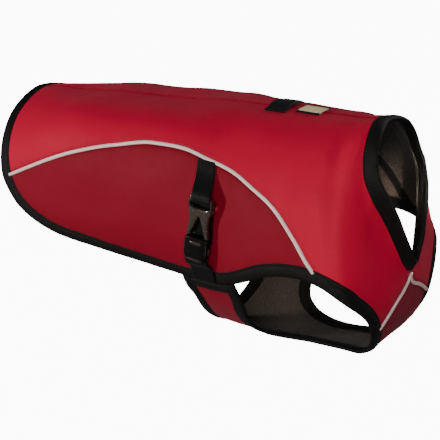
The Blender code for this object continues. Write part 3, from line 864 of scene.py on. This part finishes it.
piping_way = between(side_seam, rear_line, armhole_line)
chest_way = between(chest_seam, middle_line, armhole_line)
for side_name, side in (("right", 1), ("left", -1)):
    for name, way in (("side", piping_way), ("chest", chest_way)):
        cord = strip(name + "_piping_tape_" + side_name, even(way, int(length(way) / CORD_STEP)), CORDED,
                     [pale_piping, black_tape], side, CORD_SLOTS, wave=.25, seed=8)
        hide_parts(name + "_piping_" + side_name)
cover = strip("spine_seam_tape", path([(spine_part[0, 0], 0), (spine_part[-1, 0], 0)]), COVER, [black_tape])
stitches("side_seam_stitches", piping_way, BESIDE_SEAM, 0, red_thread, sides=(1, -1))
stitches("chest_seam_stitches", chest_way, -BESIDE_SEAM, 0, red_thread, sides=(1, -1))

# The buckles.
# One side-release buckle on each side, moulded in black plastic and shown fastened: the male half,
# an A-shaped frame with a bar, rails and two prongs, in the female half, a pocket on a backing.

BUCKLE_X, BUCKLE_BACK, BUCKLE_Z, BUCKLE_TILT = -58.5, 102.8, -99.5, np.radians(7)
# The outlines, x and z from the buckle's middle. Of those that are the same on the left as on the
# right, these are the right halves, read downward; a rail, a prong and an edge are on each side.
FRAME = [(11.2, 36.5), (12.4, 35.4), (13.0, 31), (12.8, 25.6), (11.2, 19.5), (10.4, 13), (10.5, 8),
         (11.3, 2), (12.2, -2), (12.2, -4.3), (8.6, -4.3), (7.6, -1.4), (.6, 16.8)]
STRAP_SLOT = [(10.9, 31.4), (10.9, 24.6)]
BACKING = [(12.0, 22), (12.2, 12), (12.8, 4), (13.6, -4), (13.8, -11)]
POCKET = [(10.2, -4.6), (12.6, -5.8), (13.3, -12), (12.9, -22), (11.2, -28), (7.4, -30.6)]
LIP = [(5.4, -8.4), (6.6, -9.6), (6.0, -12.2)]
EDGE = [(11.0, -8), (12.0, -9), (12.2, -20), (11.4, -24)]
HEEL = [(8.6, -26.2), (8.8, -27.2), (7.2, -28.8)]
RAIL = [(10.9, 33), (12.7, 33), (12.7, 21), (10.9, 21)]
PRONG = [(11.9, -12.2), (13.6, -13.2), (14.2, -17), (13.4, -20.6), (11.9, -21.6)]


def both_ways(half):
    """A closed outline from its right half, read downward."""
    return [(-x, z) for x, z in half] + [(x, z) for x, z in reversed(half)]


def turned(outline, times=2, cut=.22):
    """The outline with its corners cut, each time at a share of its sides from both their ends."""
    outline = np.array(outline, float)
    for _ in range(times):
        after = np.roll(outline, -1, 0)
        ends = outline * (1 - cut) + after * cut, outline * cut + after * (1 - cut)
        outline = np.stack(ends, 1).reshape(-1, 2)
    return outline


def plate(outline, holes, back, front, bevel):
    """A flat plate with holes and rounded edges, as points in mm on the jacket's right and faces."""
    curve = bpy.data.curves.new("outline", "CURVE")
    curve.dimensions, curve.fill_mode = "2D", "BOTH"
    curve.extrude, curve.bevel_depth, curve.bevel_resolution = (front - back) / 2 - bevel, bevel, 2
    curve.offset = -bevel
    for ring in [outline, *holes]:
        spline = curve.splines.new("POLY")
        spline.points.add(len(ring) - 1)
        spline.points.foreach_set("co", np.c_[ring, np.zeros(len(ring)), np.ones(len(ring))].ravel())
        spline.use_cyclic_u = True
    flat = bpy.data.objects.new("outline", curve)
    bpy.context.scene.collection.objects.link(flat)
    bpy.context.view_layer.update()
    mesh = bpy.data.meshes.new_from_object(flat.evaluated_get(bpy.context.evaluated_depsgraph_get()))
    bpy.data.objects.remove(flat)
    shell = bmesh.new()
    shell.from_mesh(mesh)
    bmesh.ops.remove_doubles(shell, verts=shell.verts, dist=.01)
    points = np.array([v.co for v in shell.verts])
    faces = [[v.index for v in face.verts] for face in shell.faces]
    shell.free()
    bpy.data.meshes.remove(mesh)
    return on_side(points[:, 0], points[:, 1], points[:, 2] + (back + front) / 2), faces


def on_side(x, z, depth):
    """Points in the buckle's own x and z and their depth off the cloth, placed on the right side."""
    c, s = np.cos(BUCKLE_TILT), np.sin(BUCKLE_TILT)
    return np.stack([BUCKLE_X + x * c + z * s, -BUCKLE_BACK - depth, BUCKLE_Z - x * s + z * c], -1)


def joined(parts):
    """Several meshes as one list of points and one of faces."""
    points, faces = [], []
    for part_points, part_faces in parts:
        skip = sum(map(len, points))
        points.append(part_points)
        faces += [[v + skip for v in face] for face in part_faces]
    return np.vstack(points), faces


def plastic(name, dark, light, roughness):
    """Moulded plastic with a fine grain, faint scuffs and a glossy coat."""
    material = bpy.data.materials.new(name)
    material.use_nodes = True
    tree = material.node_tree
    shader = tree.nodes["Principled BSDF"]
    place = tree.nodes.new("ShaderNodeTexCoord").outputs["Object"]
    uneven = add_node(tree, "ShaderNodeGroup", {"node_tree": mottle}, Vector=place).outputs
    scuff = add_node(tree, "ShaderNodeTexNoise", Vector=place, Scale=260.0, Detail=5.0, Distortion=1.4)
    worn = add_node(tree, "ShaderNodeMapRange", Value=scuff.outputs[0], From_Min=.60, From_Max=.72).outputs[0]
    colour = blend(tree, worn, blend(tree, uneven["Middle"], dark, light), tuple(k * 3 for k in light))
    tree.links.new(colour, shader.inputs["Base Color"])
    rough = sum_of(tree, "MULTIPLY_ADD", uneven["Middle"], .12, roughness)
    tree.links.new(sum_of(tree, "MULTIPLY_ADD", worn, .18, rough), shader.inputs["Roughness"])
    bump = add_node(tree, "ShaderNodeBump", Strength=.6, Distance=.05 * MM, Height=uneven["Fine"])
    tree.links.new(bump.outputs[0], shader.inputs["Normal"])
    shader.inputs["Coat Weight"].default_value = .35
    shader.inputs["Coat Roughness"].default_value = .12
    return material


# The glossy plastic is black with a warm brown tint painted in as reflection, much lighter than the satin
# one; on the female half's lip, edges and heel that lighter colour is a painted highlight.
reflection_painted_black = plastic("reflection_painted_black_plastic", (.016, .009, .006), (.030, .018, .012), .12)
satin_black = plastic("satin_black_plastic", (.0015, .0014, .0013), (.003, .003, .0028), .16)
satin_shader = satin_black.node_tree.nodes["Principled BSDF"]
satin_shader.inputs["Specular IOR Level"].default_value = .12
satin_shader.inputs["Coat Weight"].default_value = .05
slot_hole = turned(both_ways(STRAP_SLOT), 1)
male_parts = [plate(turned(both_ways(FRAME)), [slot_hole], back=4.2, front=9.4, bevel=1.2)]
for way in (1, -1):
    prong, rail = [[(x * way, z) for x, z in outline] for outline in (PRONG, RAIL)]
    male_parts.append(plate(turned(prong, 1), [], back=3.4, front=7.6, bevel=1.0))
    male_parts.append(plate(rail, [], back=1.5, front=5.0, bevel=.4))
female_parts = [plate(turned(both_ways(POCKET)), [], back=1.4, front=10.0, bevel=2.4),
                plate(turned(both_ways(BACKING), 1), [], back=1.4, front=3.6, bevel=.6),
                plate(turned(both_ways(LIP), 1), [], back=8.8, front=11.0, bevel=.8),
                plate(turned(both_ways(HEEL), 1), [], back=8.0, front=10.6, bevel=.9)]
for way in (1, -1):
    edge_outline = turned([(x * way, z) for x, z in EDGE], 1)
    female_parts.append(plate(edge_outline, [], back=7.4, front=9.9, bevel=.5))
# Of the female half, the pocket and its backing are satin, and what stands out from them is glossy, in the
# lighter brown plastic whose colour is a painted highlight.
SATIN_PARTS = 2
painted_highlight_faces = np.repeat(np.arange(len(female_parts)) >= SATIN_PARTS, [len(faces) for _, faces in female_parts])
HALVES = [
    # half, its plates, its plastics, which of them each face has
    ("male", male_parts, [reflection_painted_black], None),
    ("female", female_parts, [satin_black, reflection_painted_black], painted_highlight_faces),
]
for side_name, side in (("right", 1), ("left", -1)):
    for name, parts, plastics, slots in HALVES:
        half = add_piece("buckle_half_%s_%s" % (name, side_name), *joined(parts), plastics, slots=slots,
                         side=side, sharp=40)
        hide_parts("buckle_%s_%s" % (name, side_name))

# The straps.
# Black ribbed webbing. The 20 mm upper one leaves the side seam, turns round the frame's bar and
# ends behind the buckle. The 25 mm lower one runs from the pocket over the hem and is sewn to the wing.

UPPER_WEBBING, LOWER_WEBBING, WEBBING = 20.0, 25.0, 1.8
RIB = 2.5                    # from one rib of the webbing to the next
STRAP_U = -60                # the ring that the straps lie on
black_webbing = cloth("black_webbing", (.0015, .0015, .0015), (.0060, .0058, .0055), pitch=.0014,
                      roughness=.5, weave_depth=.16, nap_depth=.04, gap_shade=.6, stretch_by=1.6, sheen=.02)


def drawn(points, spacing, times):
    """A path through points, with even stations, its corners rounded by repeated averaging."""
    points = np.array(points, float)
    for _ in range(2):
        far = distances(points)
        at = np.linspace(0, far[-1], int(far[-1] / spacing) + 1)
        points = drawn_in(read_at(at, far, points), times)
    return points


def section(width, thick):
    """A strap's section: a slab with rounded sides, its two faces ribbed by a cosine 0.1 mm high."""
    ribs = int(width / RIB)
    a = np.linspace(-1, 1, 4 * ribs + 1)
    edge_drop = np.clip((np.abs(a) - .94) / .06, 0, 1) ** 2 * thick * .4
    h = thick / 2 - edge_drop + .1 * np.cos(a * ribs * np.pi)
    return np.vstack([np.c_[a * width / 2, h], np.c_[a[::-1] * width / 2, -h[::-1]]])


def strap(name, centre, beside, profile, node, side=1):
    """Webbing along a path: a point is the centre plus a times beside plus h square to the strap."""
    along = np.gradient(centre, axis=0)
    along /= np.linalg.norm(along, axis=1, keepdims=True)
    beside = np.broadcast_to(beside, centre.shape)
    out = np.cross(along, beside)
    out /= np.linalg.norm(out, axis=1, keepdims=True)
    points = centre[:, None] + profile[None, :, :1] * beside[:, None] + profile[None, :, 1:] * out[:, None]
    uv = np.stack(np.broadcast_arrays(distances(centre)[:, None], profile[None, :, 0]), -1) * MM
    made = add_piece(name, points, capped(*points.shape[:2]), [black_webbing], uv, side=side)
    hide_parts(node)


def cloth_depth(z):
    """How far the cloth lies outside the buckle's back, so far above the buckle's middle."""
    ring = body(STRAP_U, np.linspace(0, 1, 401))
    return -np.interp(-BUCKLE_Z - z, -ring[:, 2], ring[:, 1]) - BUCKLE_BACK


seam_z = body(STRAP_U, .284)[2] - BUCKLE_Z      # the side seam, above the buckle's middle
ON_CLOTH = [
    # height above the buckle's middle, lift off the cloth
    (seam_z, .2), (seam_z - 3, .9), (55, 1.9),
]
ROUND_BAR = [
    # height above the buckle's middle, depth off its back
    (49, -2.8), (44, 3.0), (40.5, 7.4), (38, 9.8), (34, 10.4), (31, 10.3), (29.9, 8.2), (29.7, 5.2),
    (30.0, 2.6), (27, .9), (20, .35), (8, .3), (-10, .3), (-24, .4),
]
IN_POCKET = [
    # x from the buckle's middle, height above it, depth off its back
    (0, -26, 5.5), (0, -31, 5.3), (1, -34, 4.2),
]
OVER_HEM = [
    # x from the buckle's middle, height above it, lift off the cloth
    (3, -38, 2.4), (4.4, -44, 2.3), (5.4, -49, 2.8), (5.9, -53.5, 2.7),
]
# The upper strap lies a little ahead of the buckle's middle. It leans back above the frame, by a
# share of its height, and steps back where it goes behind the frame.
AHEAD, LEAN_FROM, LEANING, STEP_FROM, STEP_OVER, STEPPING = .7, 37, .44, 30, 5, .8
upper_line = [(0, z, cloth_depth(z) + lift) for z, lift in ON_CLOTH]
upper_line = drawn(upper_line + [(0, z, depth) for z, depth in ROUND_BAR], .7, 6)
z = upper_line[:, 1]
upper_line[:, 0] += (AHEAD - np.clip(z - LEAN_FROM, 0, None) * LEANING
                     - np.clip(STEP_FROM - z, 0, STEP_OVER) * STEPPING)
lower_line = drawn(IN_POCKET + [(x, z, cloth_depth(z) + lift) for x, z, lift in OVER_HEM], .7, 5)
across_buckle = on_side(1, 0, 0) - on_side(0, 0, 0)
along_jacket = np.array((1.0, 0, 0))
for side_name, side in (("right", 1), ("left", -1)):
    strap("upper_strap_" + side_name, on_side(*upper_line.T), across_buckle, section(UPPER_WEBBING, WEBBING),
          "upper_webbing_" + side_name, side)
    strap("lower_strap_" + side_name, on_side(*lower_line.T), along_jacket, section(LOWER_WEBBING, WEBBING),
          "lower_webbing_" + side_name, side)

# The light loop and the label.
# A short loop of like webbing is sewn across the spine with a bar tack of three rows at each end,
# and a plain woven label in pale yellow, with two black ends, is sewn down ahead of it.

# Half the loop's length and half the label's are shares of the way round the body.
LOOP_U, LOOP_WIDTH, LOOP_HALF = -27.0, 22.0, .058
LOOP_SEAT, LOOP_RISE = 1.4, 2.9      # its ends above the cloth, and its middle above its ends
TACK_AT, TACK_HALF, TACK_APART, TACK_UP = .86, 9, .7, 2.9
LABEL_U, LABEL_LENGTH, LABEL_HALF = 4.0, 25.0, .0362
BLACK_END = 3.0
LABEL_STITCH_OUT, LABEL_STITCH_UP = 10.8, 1.62
share = np.linspace(-1, 1, 60)
loop_places = np.stack([np.full_like(share, LOOP_U), share * LOOP_HALF], 1)
strap("light_loop_webbing", lay(loop_places, LOOP_SEAT + LOOP_RISE * (1 - share ** 2) ** 2), along_jacket,
      section(LOOP_WIDTH, WEBBING), "light_loop")
for end_name, end in (("near", 1), ("far", -1)):
    t = end * TACK_AT * LOOP_HALF
    tack = path([(LOOP_U - TACK_HALF, t), (LOOP_U + TACK_HALF, t)], 1.0)
    for k in range(3):
        stitches("loop_tack_%s_%d" % (end_name, k), tack, (k - 1) * TACK_APART, TACK_UP, black_thread,
                 pitch=1.5, run=1.2, radius=.25, tilt=.4)

label_cloth = cloth("label_cloth", (.85, .62, .16), (1.0, .95, .82), pitch=.0005, roughness=.55,
                    weave_depth=.05, nap_depth=.03, gap_shade=.15)
label_tree = label_cloth.node_tree
label_uv = label_tree.nodes["Texture Coordinate"].outputs["UV"]
along_label = add_node(label_tree, "ShaderNodeSeparateXYZ", Vector=label_uv).outputs[0]
past_middle = sum_of(label_tree, "SUBTRACT", along_label, LABEL_LENGTH / 2 * MM)
from_middle = sum_of(label_tree, "ABSOLUTE", past_middle)
black_end = sum_of(label_tree, "GREATER_THAN", from_middle, (LABEL_LENGTH / 2 - BLACK_END) * MM)
label_colour = label_tree.nodes["Principled BSDF"].inputs["Base Color"]
ground = label_colour.links[0].from_socket
label_tree.links.new(blend(label_tree, black_end, ground, (.008, .008, .008)), label_colour)
LABEL_SECTION = np.array([
    # across the label, above the cloth
    (-12, .1), (-12, .9), (-11.4, 1.1), (-6, 1.0), (0, 1.05), (6, 1.0), (11.4, 1.1), (12, .9), (12, .1),
    (0, .1),
])
label_way = path([(LABEL_U, -LABEL_HALF), (LABEL_U, LABEL_HALF)], 1.5)
label = strip("label_patch", label_way, LABEL_SECTION, [label_cloth], rise=.5)
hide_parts("label")
for end_name, inward in (("rear", -LABEL_STITCH_OUT), ("front", LABEL_STITCH_OUT)):
    stitches("label_stitches_" + end_name, label_way, inward, LABEL_STITCH_UP, black_thread,
             pitch=2.6, run=1.8, radius=.22)
